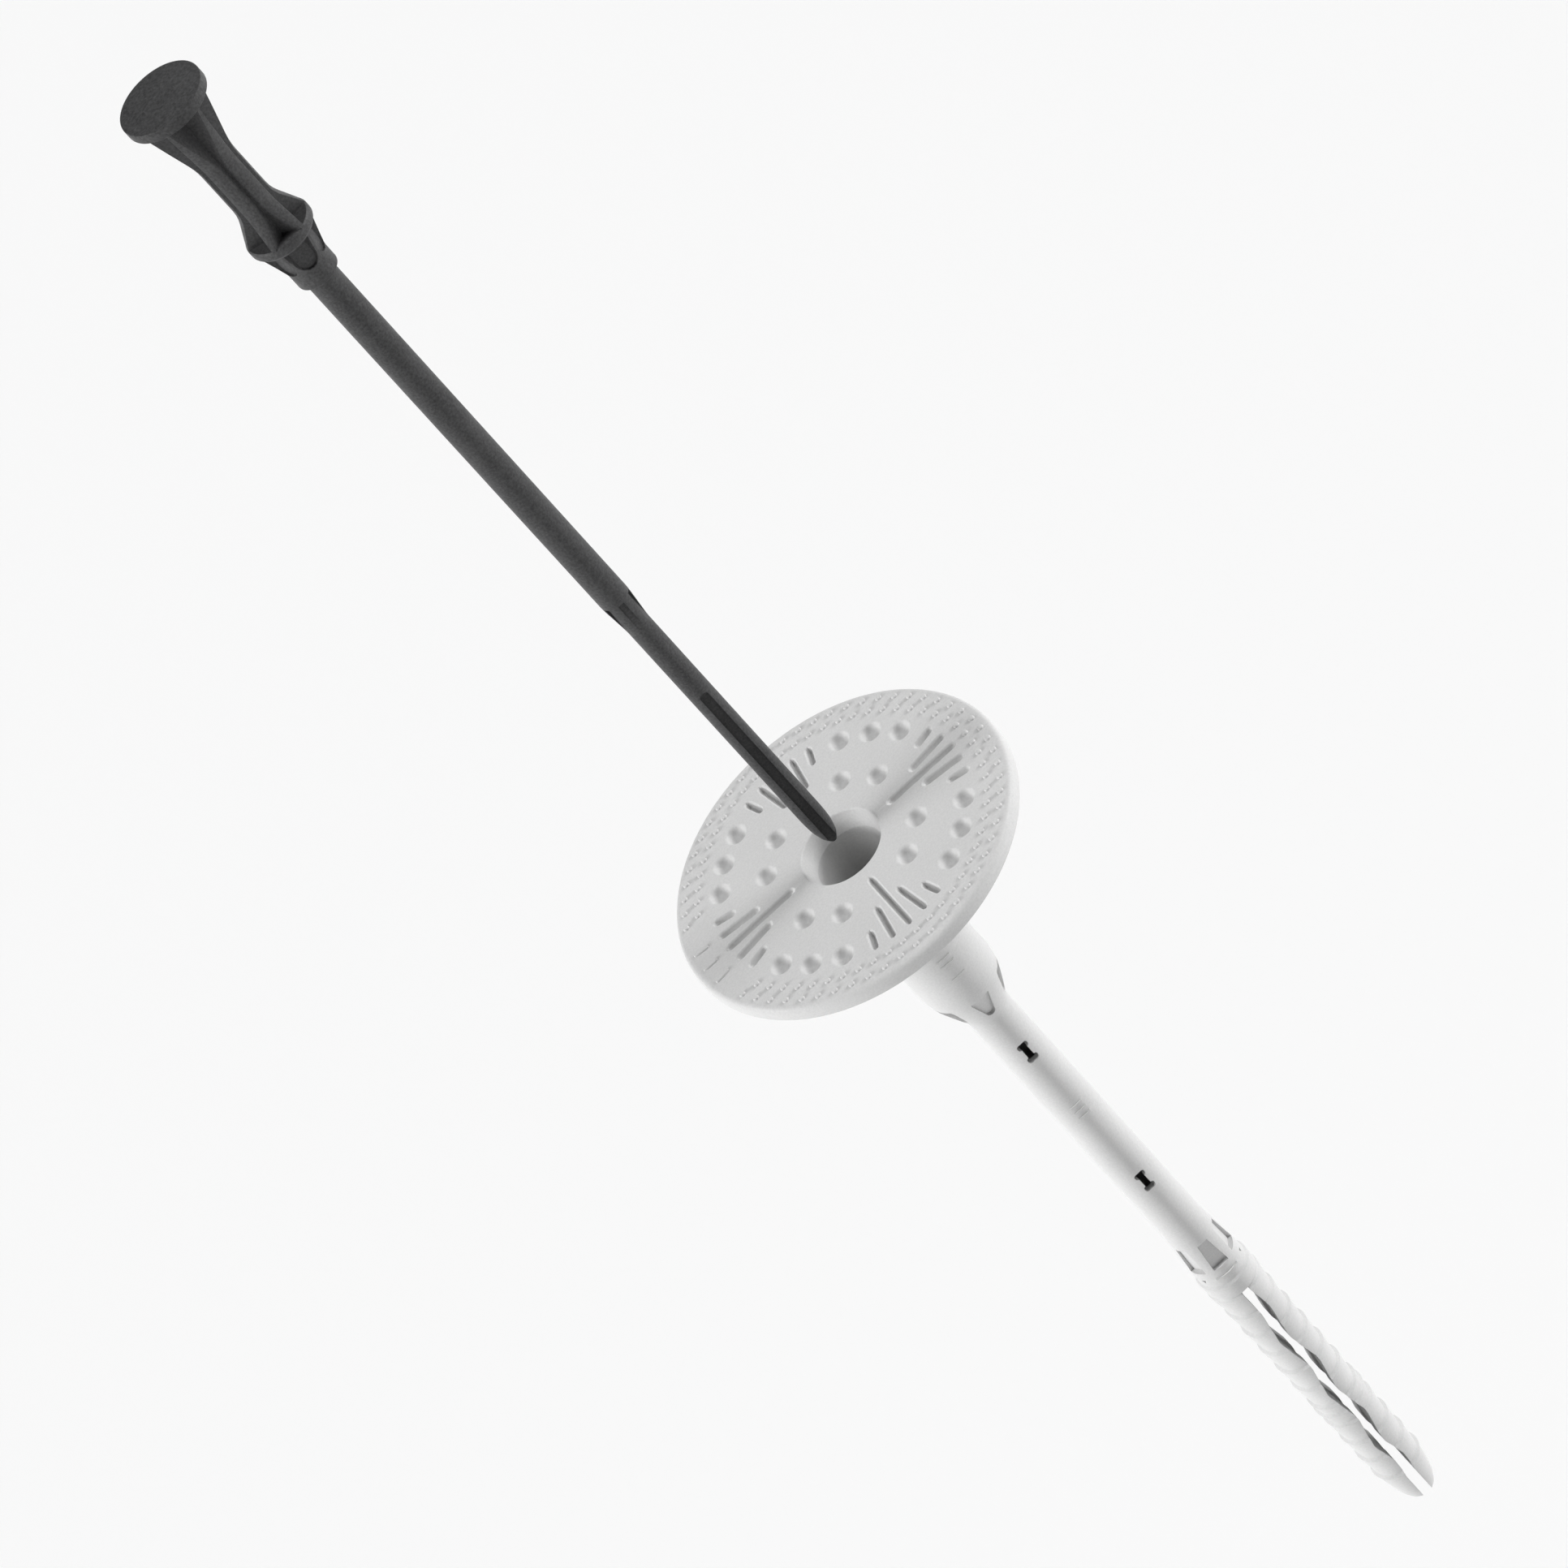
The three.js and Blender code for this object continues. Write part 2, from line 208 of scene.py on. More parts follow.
def draw_chain(name, points):
    """Starts a new piece, in edit mode, as a chain of edges through points in millimetres."""
    start_fresh()
    bpy.ops.mesh.primitive_plane_add(size=MM, location=Vector(points[0]) * MM)
    piece = bpy.context.object
    piece.name = name
    bpy.ops.object.transform_apply(location=True, rotation=True, scale=True)
    bpy.ops.object.mode_set(mode="EDIT")
    bpy.ops.mesh.merge(type="CENTER")
    for here, there in zip(points, points[1:]):
        step = (Vector(there) - Vector(here)) * MM
        bpy.ops.mesh.extrude_region_move(TRANSFORM_OT_translate={"value": step})
    bpy.ops.mesh.select_all(action="SELECT")
    return piece


def close_up():
    """Merges doubles, points the faces outwards and leaves edit mode."""
    bpy.ops.mesh.select_all(action="SELECT")
    bpy.ops.mesh.remove_doubles(threshold=MERGE)
    bpy.ops.mesh.normals_make_consistent(inside=False)
    bpy.ops.object.mode_set(mode="OBJECT")


def turned(name, outline, sides):
    """Spins an outline of (radius, height) points about Z; a closed one repeats its first point."""
    piece = draw_chain(name, [(r, 0, z) for r, z in outline])
    bpy.ops.mesh.spin(steps=sides, angle=math.tau, center=(0, 0, 0), axis=(0, 0, 1))
    close_up()
    return piece


def slab(name, points, push, grow=None):
    """Fills a ring of points and extrudes it along push; grow scales the far end about its middle."""
    piece = draw_chain(name, points)
    bpy.ops.mesh.edge_face_add()
    bpy.ops.mesh.extrude_region_move(TRANSFORM_OT_translate={"value": Vector(push) * MM})
    if grow:
        middle = sum((Vector(p) for p in points), Vector()) / len(points) + Vector(push)
        bpy.ops.transform.resize(value=grow, center_override=middle * MM)
    close_up()
    return piece


def shifted(tool, distance):
    """Moves a tool out along X and applies its place."""
    tool.location.x = distance * MM
    pick(tool)
    bpy.ops.object.transform_apply(location=True, rotation=False, scale=False)
    return tool


def copies_round(tool, angles):
    """Copies a tool round Z to every angle and joins the copies into one; the model itself goes."""
    made = []
    for angle in angles:
        pick(tool)
        bpy.ops.object.duplicate()
        copy = bpy.context.object
        copy.rotation_euler.z = angle
        bpy.ops.object.transform_apply(location=False, rotation=True, scale=False)
        made.append(copy)
    bpy.data.objects.remove(tool)
    return joined(made)


def joined(pieces):
    """Joins separate solids into one object."""
    start_fresh()
    for piece in pieces:
        piece.select_set(True)
    bpy.context.view_layer.objects.active = pieces[0]
    if len(pieces) > 1:
        bpy.ops.object.join()
    return pieces[0]


def shape(piece, tool, operation="DIFFERENCE"):
    """Cuts or joins a tool with an exact boolean, and removes the tool."""
    change = piece.modifiers.new("shape", "BOOLEAN")
    change.operation = operation
    change.solver = "EXACT"
    change.object = tool
    pick(piece)
    bpy.ops.object.modifier_apply(modifier=change.name)
    bpy.data.objects.remove(tool)


def finished(piece, name, body, material, replaced, angle=32):
    """Smooths, weights the normals so that flat faces stay flat, and ties the piece to the frame."""
    piece.name = name
    piece.data.name = name
    pick(piece)
    bpy.ops.object.mode_set(mode="EDIT")
    bpy.ops.mesh.select_all(action="SELECT")
    bpy.ops.mesh.dissolve_degenerate(threshold=MERGE)
    bpy.ops.object.mode_set(mode="OBJECT")
    bpy.ops.object.shade_smooth_by_angle(angle=math.radians(angle))
    weights = piece.modifiers.new("weights", "WEIGHTED_NORMAL")
    weights.mode = "FACE_AREA"
    weights.weight = 90
    weights.keep_sharp = True
    bpy.ops.object.modifier_apply(modifier=weights.name)
    piece.data.materials.clear()
    piece.data.materials.append(material)
    if body:
        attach(piece, body)
    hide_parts(*replaced)
    return piece


def level(depth):
    """Height of a depth measured down from the plate's face."""
    return PLATE_TOP - depth


def along(distance):
    """Height of a distance measured down the pin from its head."""
    return PIN_TOP - distance


def at_depth(outline):
    """Turns (radius, depth) points into (radius, height) points."""
    return [(p[0], level(p[1])) for p in outline]


# ---- materials ----

def add(nodes, kind, **values):
    """A node with its properties and its input values set."""
    node = nodes.new(kind)
    for key, value in values.items():
        if key in node.inputs:
            node.inputs[key].default_value = value
        else:
            setattr(node, key, value)
    return node


def plastic(name, colour, shades, grain, roughness, bump, extra):
    """Moulded plastic with a fine spark grain, a slow colour drift and an uneven gloss.

    shades darken and lighten the colour, and bump holds the depths of the grain and the flow marks.
    """
    material = bpy.data.materials.new(name)
    material.use_nodes = True
    nodes, links = material.node_tree.nodes, material.node_tree.links
    surface = nodes["Principled BSDF"]
    place = add(nodes, "ShaderNodeTexCoord")

    spark = add(nodes, "ShaderNodeTexNoise", Scale=grain, Detail=3.0, Roughness=0.6)
    drift = add(nodes, "ShaderNodeTexNoise", Scale=55.0, Detail=2.0, Roughness=0.5)
    flow = add(nodes, "ShaderNodeTexNoise", Scale=420.0, Detail=4.0, Roughness=0.55, Distortion=0.4)
    for noise in (spark, drift, flow):
        links.new(place.outputs["Object"], noise.inputs["Vector"])

    tone = add(nodes, "ShaderNodeMix", data_type="RGBA")
    tone.inputs["A"].default_value = (*[c * shades[0] for c in colour], 1)
    tone.inputs["B"].default_value = (*[c * shades[1] for c in colour], 1)
    blend = add(nodes, "ShaderNodeMath", operation="MULTIPLY_ADD")
    blend.inputs[1].default_value = 0.7
    blend.inputs[2].default_value = 0.15
    links.new(drift.outputs["Fac"], blend.inputs[0])
    speck = add(nodes, "ShaderNodeMapRange", data_type="FLOAT")
    speck.inputs["From Min"].default_value = 0.3
    speck.inputs["From Max"].default_value = 0.7
    speck.inputs["To Min"].default_value = -0.3
    speck.inputs["To Max"].default_value = 0.3
    links.new(spark.outputs["Fac"], speck.inputs["Value"])
    total = add(nodes, "ShaderNodeMath", operation="ADD", use_clamp=True)
    links.new(blend.outputs["Value"], total.inputs[0])
    links.new(speck.outputs["Result"], total.inputs[1])
    links.new(total.outputs["Value"], tone.inputs["Factor"])
    links.new(tone.outputs["Result"], surface.inputs["Base Color"])

    gloss = add(nodes, "ShaderNodeMapRange", data_type="FLOAT")
    gloss.inputs["From Min"].default_value = 0.3
    gloss.inputs["From Max"].default_value = 0.7
    gloss.inputs["To Min"].default_value = roughness[0]
    gloss.inputs["To Max"].default_value = roughness[1]
    links.new(flow.outputs["Fac"], gloss.inputs["Value"])
    links.new(gloss.outputs["Result"], surface.inputs["Roughness"])

    edges = add(nodes, "ShaderNodeBevel", Radius=0.00012, samples=4)
    waves = add(nodes, "ShaderNodeBump", Strength=0.25, Distance=bump[1])
    texture = add(nodes, "ShaderNodeBump", Strength=0.5, Distance=bump[0])
    links.new(flow.outputs["Fac"], waves.inputs["Height"])
    links.new(spark.outputs["Fac"], texture.inputs["Height"])
    links.new(edges.outputs["Normal"], waves.inputs["Normal"])
    links.new(waves.outputs["Normal"], texture.inputs["Normal"])
    links.new(texture.outputs["Normal"], surface.inputs["Normal"])
    for key, value in extra.items():
        surface.inputs[key].default_value = value
    return material


def sleeve_plastic():
    """The sleeve and its legs share one plastic, which lets a little light through."""
    found = bpy.data.materials.get("pale_moulded_plastic")
    if found:
        return found
    colour = bpy.context.scene.anchor_sleeve.colour
    return plastic(
        "pale_moulded_plastic", colour, shades=(0.9, 1.08), grain=2800.0, roughness=(0.42, 0.56),
        bump=(0.00002, 0.00003), extra={
            "Subsurface Weight": 0.12,
            "Subsurface Radius": (1.0, 0.98, 0.95),
            "Subsurface Scale": 0.00025,
            "Specular IOR Level": 0.25,
        })


def pin_plastic():
    """The pin's dark plastic, with a coarser mottle than the sleeve's."""
    colour = bpy.context.scene.anchor_pin.colour
    return plastic(
        "dark_moulded_plastic", colour, shades=(0.4, 1.6), grain=2600.0, roughness=(0.42, 0.58),
        bump=(0.00004, 0.00004), extra={"Specular IOR Level": 0.22})


# ---- sleeve ----

def capsule(start, end, half):
    """Outline of a straight bar with round ends along X, as (x, y) points."""
    steps = 4
    points = []
    for middle, first in ((end - half, -90), (start + half, 90)):
        for k in range(steps + 1):
            angle = math.radians(first + 180 * k / steps)
            points.append((middle + half * math.cos(angle), half * math.sin(angle)))
    return points


def stepped(name, start, end, levels):
    """A bar along X, built up over levels of (height over the plate's face, half width)."""
    top, wide = levels[0]
    half = levels[-1][1]
    outline = capsule(start - wide + half, end + wide - half, wide)
    piece = draw_chain(name, [(x, y, PLATE_TOP + top) for x, y in outline])
    bpy.ops.mesh.edge_face_add()
    middle, length = (start + end) / 2, (end - start) / 2 - half
    for (z0, w0), (z1, w1) in zip(levels, levels[1:]):
        bpy.ops.mesh.extrude_region_move(TRANSFORM_OT_translate={"value": (0, 0, (z1 - z0) * MM)})
        bpy.ops.transform.resize(value=((length + w1) / (length + w0), w1 / w0, 1),
                                 center_override=Vector((middle, 0, PLATE_TOP + z1)) * MM)
    close_up()
    return piece


def groove_tool(start, end):
    """A groove with a round floor and soft lips, cut into the plate's face."""
    levels = [
        (0.3, 0.98), (0.02, 0.9), (-0.04, 0.78), (-0.2, 0.62), (-0.45, 0.5), (-0.85, 0.38), (-1.1, 0.18),
    ]
    inset = 0.4
    return stepped("groove", start + inset, end - inset, levels)


def dimple_tool(distance):
    """A round hollow with a soft lip, cut into the plate's face."""
    ball, deep, lip, reach, clear = 1.8, 1.5, 1.9, 2.6, 0.6
    turns = [math.radians(a) for a in range(0, 56, 11)]
    floor = [(ball * math.sin(a), ball * (1 - math.cos(a)) - deep) for a in turns]
    rim = soften([floor[-1], (lip, -0.03, 0.5), (reach, 0.03)], 5)
    outline = floor + rim[1:] + [(reach, clear), (0, clear)]
    return shifted(turned("dimple", [(r, PLATE_TOP + z) for r, z in outline], 28), distance)


def pip_tool(distance):
    """A pinpoint dome of the two rings near the plate's rim."""
    outline = [
        (0, -0.4), (0.5, -0.4), (0.64, -0.02), (0.53, 0.05),
        (0.48, 0.24), (0.4, 0.33), (0.2, 0.37), (0, 0.38),
    ]
    return shifted(turned("pip", [(r, PLATE_TOP + z) for r, z in outline], 16), distance)


def plate_bar(distance):
    """A plain raised bar on the plate's face, pointing to the axis."""
    half = 1.2
    levels = [(-0.3, 0.52), (0.0, 0.48), (0.24, 0.38), (0.32, 0.24)]
    return stepped("plate_bar", distance - half, distance + half, levels)


def plate_hollows():
    """All hollows of the plate's face: two rings of dimples and four fans of grooves."""
    quarters = [math.radians(90 * i) for i in range(4)]
    inner = [q + math.radians(a) for q in quarters for a in (30, 60)]
    outer = [q + math.radians(a) for q in quarters for a in (30, 45, 60)]
    tools = [copies_round(dimple_tool(INNER_RING), inner), copies_round(dimple_tool(OUTER_RING), outer)]
    for start, spread in ((9.7, (0,)), (15.8, (-8, 8)), (19.5, (-16, 16))):
        angles = [q + math.radians(a) for q in quarters for a in spread]
        tools.append(copies_round(groove_tool(start, GROOVE_END), angles))
    return joined(tools)


def plate_reliefs():
    """What stands up from the plate's face: two rings of pips and three plain bars in their gap."""
    tools = []
    pitch, last = 6, 160
    for distance, offset in ((25.8, 0), (28.1, 3)):
        angles = [math.radians(a + offset) for a in range(-180, 180, pitch) if abs(a + offset) <= last]
        tools.append(copies_round(pip_tool(distance), angles))
    tools.append(copies_round(plate_bar(27.0), [math.radians(a) for a in (172, 180, 188)]))
    return joined(tools)


def taper_pocket_tool():
    """A tapered hollow in the cone under the collar, facing +X."""
    top, end = Vector((5.95, 0, level(37.2))), Vector((4.05, 0, level(43.1)))
    down = (end - top).normalized()
    across = Vector((0, 1, 0))
    out = down.cross(across)
    length = (end - top).length
    wide, narrow = 1.8, 0.8
    turns = [math.radians(a) for a in range(-90, 91, 30)]
    outline = [(0, wide), (0, -wide)]
    outline += [(length - narrow + narrow * math.cos(a), narrow * math.sin(a)) for a in turns]
    points = [top + down * u + across * v for u, v in outline]
    return slab("taper_pocket", points, out * 5)


def wedge_pocket_tool():
    """A flat-floored pocket that widens towards the tip, facing +X."""
    floor, narrow, wide, top, end = 3.6, 0.95, 1.5, 113.9, 120.4
    draft = (1, 1.16, 1.03)
    outline = [(narrow, top), (-narrow, top), (-wide, end), (wide, end)]
    return slab("wedge_pocket", [(floor, y, level(d)) for y, d in outline], (3, 0, 0), draft)


def window_tool(depth):
    """A bone-shaped window through both walls, as (along the shank, across it) round its middle."""
    reach = 6
    half = [(-2.4, 0.55), (-2.25, 0.85), (-1.95, 1.0), (-1.45, 1.0), (-1.15, 0.85), (-1.0, 0.55)]
    half += [(-u, v) for u, v in reversed(half)]
    outline = half + [(u, -v) for u, v in reversed(half)]
    return slab("window", [(v, -reach, level(depth + u)) for u, v in outline], (0, 2 * reach, 0))


def notch_tool():
    """A small three-cornered nick beside the end of a lip."""
    floor, half, length = 4.25, 0.35, 0.8
    draft = (1, 1.5, 1.2)
    outline = [(-half, LIP_DEPTH), (half, LIP_DEPTH), (0.0, LIP_DEPTH + length)]
    return slab("notch", [(floor, y, level(d)) for y, d in outline], (2, 0, 0), draft)


def arc_band(name, inner, outer, depth, height, half_angle):
    """A raised band round part of a tube's wall, centred on +X."""
    steps = 4
    turns = [math.radians(half_angle * k / steps) for k in range(-steps, steps + 1)]
    ring = [(outer * math.cos(a), outer * math.sin(a)) for a in turns]
    ring += [(inner * math.cos(a), inner * math.sin(a)) for a in reversed(turns)]
    return slab(name, [(x, y, level(depth - height / 2)) for x, y in ring], (0, 0, -height))


def wall_reliefs(s):
    """Lips over the wedge pockets and the plain bars on the collar and the shank."""
    lip = arc_band("lip", 4.2, 4.86, LIP_DEPTH, 0.45, 29)
    rise, tall = 0.2, 0.6
    marks = [arc_band("collar_mark", 6.5, s.collar_radius + rise, d, tall, 11) for d in (25.6, 27.0, 30.4)]
    marks += [arc_band("shank_mark", 3.6, s.shank_radius + rise, d, tall, 17) for d in (71.1, 72.6, 74.1)]
    return joined([copies_round(lip, [FRONT, -FRONT]), copies_round(joined(marks), [FRONT])])


def sleeve_outline(s):
    """Closed outline of the sleeve down to the root of its legs, as (radius, depth)."""
    plate = [(s.mouth_radius, 0, 0.3), (s.plate_radius, 0, 1.3), (s.plate_radius, PLATE_THICKNESS, 0.25)]
    collar = [(s.collar_radius, PLATE_THICKNESS, 0.5), (s.collar_radius, 37.0, 2.6)]
    shank = [(s.shank_radius, 45.2, 0.9), (s.shank_radius, 112, 2.5), (4.55, 121, 0.6)]
    ring = [(4.6, 124.45, 0.08), (5.02, 124.85, 0.12), (ROOT_RADIUS, ROOT_DEPTH, 0)]
    bore = [(s.bore_radius, ROOT_DEPTH, 0), (s.bore_radius, 44.5, 0.3), (6.0, 34, 0.3), (6.0, 3.3, 0.12)]
    outline = soften(plate + collar + shank + ring + bore)
    return outline + outline[:1]


class ANCHOR_OT_sleeve(bpy.types.Operator):
    """Model the sleeve: plate, funnel collar and shank in one moulding"""

    bl_idname = "anchor.sleeve"
    bl_label = "Sleeve"

    def execute(self, context):
        s = context.scene.anchor_sleeve
        piece = turned("sleeve", at_depth(sleeve_outline(s)), 144)
        shape(piece, plate_hollows())
        shape(piece, plate_reliefs(), "UNION")
        shape(piece, copies_round(taper_pocket_tool(), SIXTHS))
        shape(piece, copies_round(wedge_pocket_tool(), SIXTHS))
        shape(piece, joined([window_tool(depth) for depth in WINDOW_DEPTHS]))
        sides = [FRONT + math.radians(a) for a in (60, -60, 120, -120)]
        shape(piece, copies_round(notch_tool(), sides))
        shape(piece, wall_reliefs(s), "UNION")
        finished(piece, "sleeve_moulding", "sleeve", sleeve_plastic(),
                 ["pressure_plate", "funnel_collar", "sleeve_shank"])
        return {"FINISHED"}


# ---- expansion legs ----

def leg_outline(s):
    """Outline of the whole split end, as (radius, depth), from the axis to the axis."""
    valley, riser, lock_riser = 4.3, 0.42, 0.4
    corners = [(0, ROOT_DEPTH), (ROOT_RADIUS, ROOT_DEPTH)]
    corners += [(4.62, 128.4, 0.05), (5.06, 128.8, 0.1), (4.5, 133.8, 0.1)]
    for crest in [BARB_START + BARB_PITCH * i for i in range(BARB_COUNT)]:
        corners += [(valley, crest - riser, 0.05), (s.barb_radius, crest, 0.1)]
        if crest < LOCK_DEPTH < crest + BARB_PITCH:
            corners += [(4.5, LOCK_DEPTH - lock_riser, 0.05), (4.98, LOCK_DEPTH, 0.1)]
    corners += [(4.58, STRAIGHT_START, 0.6), (3.6, 196.0, 1.2), (2.6, 198.7, 0.8)]
    corners += [(1.3, TIP_DEPTH, 0.3), (0, TIP_DEPTH)]
    return soften(corners, 3)


def slit_edge(side, s):
    """One wall of the zigzag slit, as (x, depth)."""
    line = [(0, ROOT_DEPTH), (0.4, 135.4), (-0.6, 144.1), (0.6, 152.8), (-0.6, 161.5), (0.6, 170.2),
            (-0.6, 178.9), (0.4, 184.5), (0.3, 187.6), (0, STRAIGHT_START), (0, TIP_DEPTH + 1)]
    root_gap = 0.73
    gaps = [root_gap] + [s.slit_half_gap] * (len(line) - 1)
    return [(x + side * gap, d) for (x, d), gap in zip(line, gaps)]


def leg(side, s):
    """One half of the split end: side is +1 towards +X."""
    piece = turned("leg", at_depth(leg_outline(s)), 120)
    clear, bend, zigzags = 8, 0.9, range(1, 7)
    edge = [(x, d, bend if i in zigzags else 0) for i, (x, d) in enumerate(slit_edge(side, s))]
    wall = soften(edge, 4)
    far = -side * clear
    region = [(far, ROOT_DEPTH - 1), (wall[0][0], ROOT_DEPTH - 1)] + wall + [(far, TIP_DEPTH + 1)]
    shape(piece, slab("other_half", [(x, -clear, level(d)) for x, d in region], (0, 2 * clear, 0)))
    radius, top, end, pinch = 2.2, 2, -76, 0.0204
    bore = turned("bore", [(0, top), (radius, top), (radius, end), (0, end)], 48)
    bore.rotation_euler.y = side * pinch
    bore.location.z = level(ROOT_DEPTH) * MM
    pick(bore)
    bpy.ops.object.transform_apply(location=True, rotation=True, scale=False)
    shape(piece, bore)
    return piece


class ANCHOR_OT_legs(bpy.types.Operator):
    """Model the two expansion legs, the two halves of the split end below the sleeve's root"""

    bl_idname = "anchor.legs"
    bl_label = "Expansion legs"

    def execute(self, context):
        s = context.scene.anchor_sleeve
        for side, body in ((-1, "leg_left"), (1, "leg_right")):
            piece = finished(leg(side, s), f"{body}_moulding", None, sleeve_plastic(),
                             [f"expansion_{body}"])
            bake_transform(piece)
        return {"FINISHED"}


# ---- drive pin ----

def flute_tool():
    """A V groove along the neck, ended by a facet that climbs to the collar's rim, facing +X."""
    floor, reach, slope = 2.55, 6.7, 1.1
    start, facet_radius = 1.95, 4.7
    half = (reach - floor) * slope
    climb = (FACET_END - FACET_START) / (facet_radius - floor)
    corners = [(floor, 0), (reach, half), (reach, -half)]
    piece = draw_chain("flute", [(x, y, along(start)) for x, y in corners])
    bpy.ops.mesh.edge_face_add()
    bpy.ops.mesh.extrude_region_move(TRANSFORM_OT_translate={"value": (0, 0, (start - FACET_START) * MM)})
    bpy.ops.object.mode_set(mode="OBJECT")
    for vertex in piece.data.vertices:
        vertex.select = vertex.co.z < along(FACET_START - 1) * MM and vertex.co.x > (floor + 1) * MM
    bpy.ops.object.mode_set(mode="EDIT")
    bpy.ops.transform.translate(value=(0, 0, -(reach - floor) * climb * MM))
    close_up()
    return piece


def foot_pocket_tool():
    """The hollow between two fins under the collar's rim, round at its lower end, facing +X."""
    outer, floor, fin = 6.3, 3.05, 0.6
    sector = math.tan(math.radians(30))
    narrow = floor * sector - fin / 2
    wide = outer * sector - fin / 2
    flank = [(1, 29.75), (1, 33.4), (0.82, 34.2), (0.45, 34.8)]
    outline = [(-narrow * part, s) for part, s in flank] + [(0, 35.0)]
    outline += [(narrow * part, s) for part, s in reversed(flank)]
    return slab("foot_pocket", [(floor, y, along(s)) for y, s in outline], (outer - floor, 0, 0),
                (1, wide / narrow, 1))


def step_flat_tool():
    """A narrow flat across the step from the shaft to the thin end, facing +X."""
    floor, half, top, end = 2.0, 0.5, 116.2, 122.8
    outline = [(-half, top), (half, top), (half, end), (-half, end)]
    return slab("step_flat", [(floor, y, along(s)) for y, s in outline], (1.2, 0, 0))


def slot_tool():
    """The slot along one side of the thin end, facing +X."""
    half, start, floor = 0.75, 139.5, 0.8
    turns = [math.radians(a) for a in range(0, 181, 30)]
    outline = [(half * math.cos(a), start + half - half * math.sin(a)) for a in turns]
    outline += [(-half, PIN_LENGTH + 1), (half, PIN_LENGTH + 1)]
    return slab("slot", [(floor, y, along(s)) for y, s in outline], (2.4, 0, 0))


def upper_outline(p):
    """Outline of the head, the neck and the top of the collar, as (radius, distance)."""
    return soften([
        (0, 0), (p.head_radius, 0, 0.22), (p.head_radius, HEAD_THICKNESS, 0.2), (5.7, HEAD_THICKNESS, 0.25),
        (p.waist_radius, 12.5, 1.6), (p.waist_radius, 23, 1.6), (5.26, 27.95), (5.0, 28.4), (0, 28.4),
    ], 3)


def lower_outline(p):
    """Outline from the collar down to the point, as (radius, distance)."""
    collar = [(0, 27.9), (5.05, 27.9), (5.3, 28.2, 0.15), (5.3, 29.3, 0.2), (4.98, 29.6, 0.1)]
    foot = [(4.85, 29.9, 0.1), (3.38, 35.2, 0.8), (3.38, FOOT_END, 0.25), (p.shaft_radius, FOOT_END, 0.08)]
    shaft = [(p.shaft_radius, STEP_START, 0.8), (p.thin_radius, STEP_END, 0.8), (p.thin_radius, 173.5, 1.2)]
    point = [(1.85, 176, 0.7), (1.35, 178.4, 0.5), (0.5, PIN_LENGTH, 0.25), (0, PIN_LENGTH)]
    return soften(collar + foot + shaft + point, 3)


class ANCHOR_OT_pin(bpy.types.Operator):
    """Model the drive pin: head, fluted neck, collar, shaft and slotted end"""

    bl_idname = "anchor.pin"
    bl_label = "Drive pin"

    def execute(self, context):
        p = context.scene.anchor_pin
        piece = turned("pin", [(r, along(d)) for r, d in upper_outline(p)], 96)
        for angle in SIXTHS:
            shape(piece, copies_round(flute_tool(), [angle]))
        foot = turned("foot", [(r, along(d)) for r, d in lower_outline(p)], 96)
        shape(foot, copies_round(foot_pocket_tool(), SIXTHS))
        shape(foot, copies_round(step_flat_tool(), SIXTHS))
        shape(foot, copies_round(slot_tool(), [FRONT, -FRONT]))
        shape(piece, foot, "UNION")
        finished(piece, "drive_pin_moulding", "pin", pin_plastic(), ["drive_pin"], angle=25)
        return {"FINISHED"}


# ---- stage ----

def side_sun(name, strength, spread, lean):
    """Even light from far off, leaning over towards X by an angle in degrees."""
    data = bpy.data.lights.new(name, "SUN")
    data.energy = strength
    data.angle = math.radians(spread)
    lamp = bpy.data.objects.new(name, data)
    bpy.context.scene.collection.objects.link(lamp)
    lamp.rotation_euler.y = math.radians(lean)


def stage_paper(colour):
    """Dull paper with a fine fibre."""
    material = bpy.data.materials.new("stage_paper")
    material.use_nodes = True
    nodes, links = material.node_tree.nodes, material.node_tree.links
    surface = nodes["Principled BSDF"]
    place = add(nodes, "ShaderNodeTexCoord")
    fibre = add(nodes, "ShaderNodeTexNoise", Scale=900.0, Detail=3.0)
    links.new(place.outputs["Object"], fibre.inputs["Vector"])
    relief = add(nodes, "ShaderNodeBump", Strength=0.05, Distance=0.0001)
    links.new(fibre.outputs["Fac"], relief.inputs["Height"])
    links.new(relief.outputs["Normal"], surface.inputs["Normal"])
    surface.inputs["Base Color"].default_value = (*colour, 1)
    surface.inputs["Roughness"].default_value = 0.9
    surface.inputs["Specular IOR Level"].default_value = 0.1
    return material


def studio_world():
    """A dim even room whose horizon is pale, so that a low view has a pale backdrop too."""
    world = bpy.data.worlds.new("studio")
    world.use_nodes = True
    nodes, links = world.node_tree.nodes, world.node_tree.links
    place = add(nodes, "ShaderNodeTexCoord")
    split = add(nodes, "ShaderNodeSeparateXYZ")
    height = add(nodes, "ShaderNodeMath", operation="ABSOLUTE")
    fade = add(nodes, "ShaderNodeMapRange", data_type="FLOAT")
    fade.inputs["From Min"].default_value = 0.1
    fade.inputs["From Max"].default_value = 0.14
    fade.inputs["To Min"].default_value = 0.9
    fade.inputs["To Max"].default_value = 0.04
    links.new(place.outputs["Generated"], split.inputs["Vector"])
    links.new(split.outputs["Z"], height.inputs[0])
    links.new(height.outputs["Value"], fade.inputs["Value"])
    links.new(fade.outputs["Result"], nodes["Background"].inputs["Strength"])
    nodes["Background"].inputs["Color"].default_value = (1, 1, 1, 1)
    return world


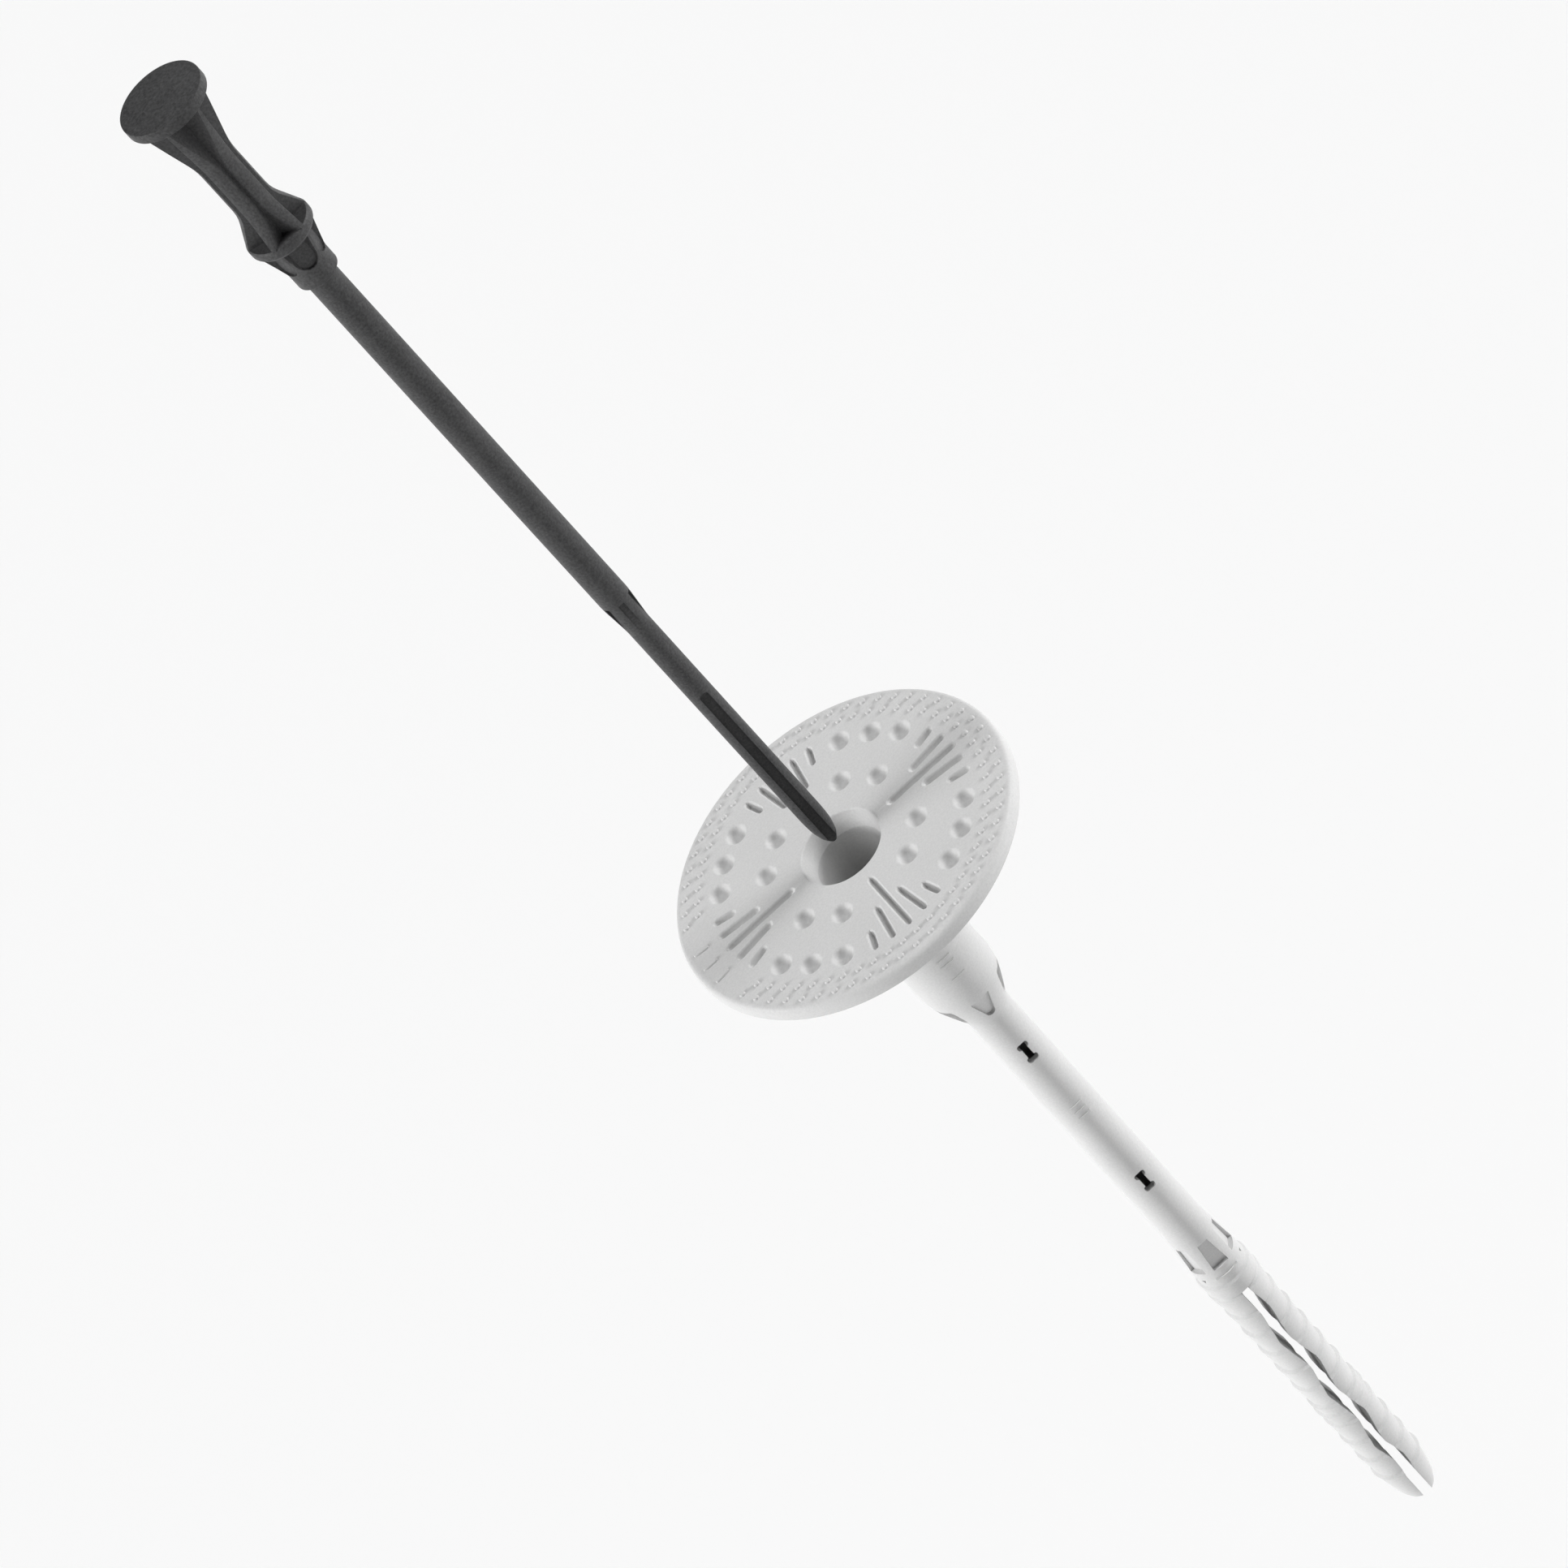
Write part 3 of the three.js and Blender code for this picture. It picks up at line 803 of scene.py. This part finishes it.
class ANCHOR_OT_stage(bpy.types.Operator):
    """Lay the floor, set the room and its lights, and place the camera"""

    bl_idname = "anchor.stage"
    bl_label = "Stage"

    def execute(self, context):
        g = context.scene.anchor_stage
        start_fresh()
        bpy.ops.mesh.primitive_grid_add(x_subdivisions=8, y_subdivisions=8, size=12,
                                        location=(0, 0, g.floor_height))
        floor = context.object
        floor.name = "floor"
        bpy.ops.object.transform_apply(location=True, rotation=False, scale=False)
        floor.data.materials.append(stage_paper(g.floor_colour))

        context.scene.world = studio_world()
        for side in (-1, 1):
            side_sun("low_sun", 2.05, 20, side * 72)
            side_sun("high_sun", 1.1, 30, side * 41)

        data = bpy.data.cameras.new("camera")
        data.lens = g.lens
        data.clip_end = 50
        camera = bpy.data.objects.new("camera", data)
        context.scene.collection.objects.link(camera)
        look = Vector((0, math.cos(g.elevation), -math.sin(g.elevation)))
        rise = Vector((0, math.sin(g.elevation), math.cos(g.elevation)))
        side = Vector((1, 0, 0))
        right = side * math.cos(g.roll) - rise * math.sin(g.roll)
        up = rise * math.cos(g.roll) + side * math.sin(g.roll)
        low, high = cad_box
        lift = 0.026
        target = Vector((0, 0, (low.z + high.z) / 2 + lift))
        turn = Matrix((right, up, -look)).transposed().to_4x4()
        camera.matrix_world = Matrix.Translation(target - look * g.distance) @ turn
        context.scene.camera = camera
        context.scene.view_settings.view_transform = "Standard"
        return {"FINISHED"}


# ---- panel and registration ----

class ANCHOR_PT_panel(bpy.types.Panel):
    """Lists the anchor's operators and settings"""

    bl_idname = "ANCHOR_PT_panel"
    bl_label = "Wall anchor"
    bl_space_type = "VIEW_3D"
    bl_region_type = "UI"
    bl_category = "Anchor"

    def draw(self, context):
        for settings, operators in GROUPS:
            box = self.layout.box()
            for operator in operators:
                box.operator(operator.bl_idname)
            group = getattr(context.scene, settings)
            for key in group.__annotations__:
                box.prop(group, key)


SETTINGS = {
    "anchor_sleeve": ANCHOR_PG_sleeve,
    "anchor_pin": ANCHOR_PG_pin,
    "anchor_stage": ANCHOR_PG_stage,
}
GROUPS = (
    ("anchor_sleeve", (ANCHOR_OT_sleeve, ANCHOR_OT_legs)),
    ("anchor_pin", (ANCHOR_OT_pin,)),
    ("anchor_stage", (ANCHOR_OT_stage,)),
)
OPERATORS = [operator for _, operators in GROUPS for operator in operators]
CLASSES = (*SETTINGS.values(), *OPERATORS, ANCHOR_PT_panel)


def register():
    for cls in CLASSES:
        bpy.utils.register_class(cls)
    for key, group in SETTINGS.items():
        setattr(bpy.types.Scene, key, bpy.props.PointerProperty(type=group))


def unregister():
    for key in SETTINGS:
        delattr(bpy.types.Scene, key)
    for cls in reversed(CLASSES):
        bpy.utils.unregister_class(cls)


def main():
    register()
    bpy.ops.anchor.sleeve()
    bpy.ops.anchor.legs()
    bpy.ops.anchor.pin()
    bpy.ops.anchor.stage()
    start_fresh()


if __name__ == "__main__":
    main()
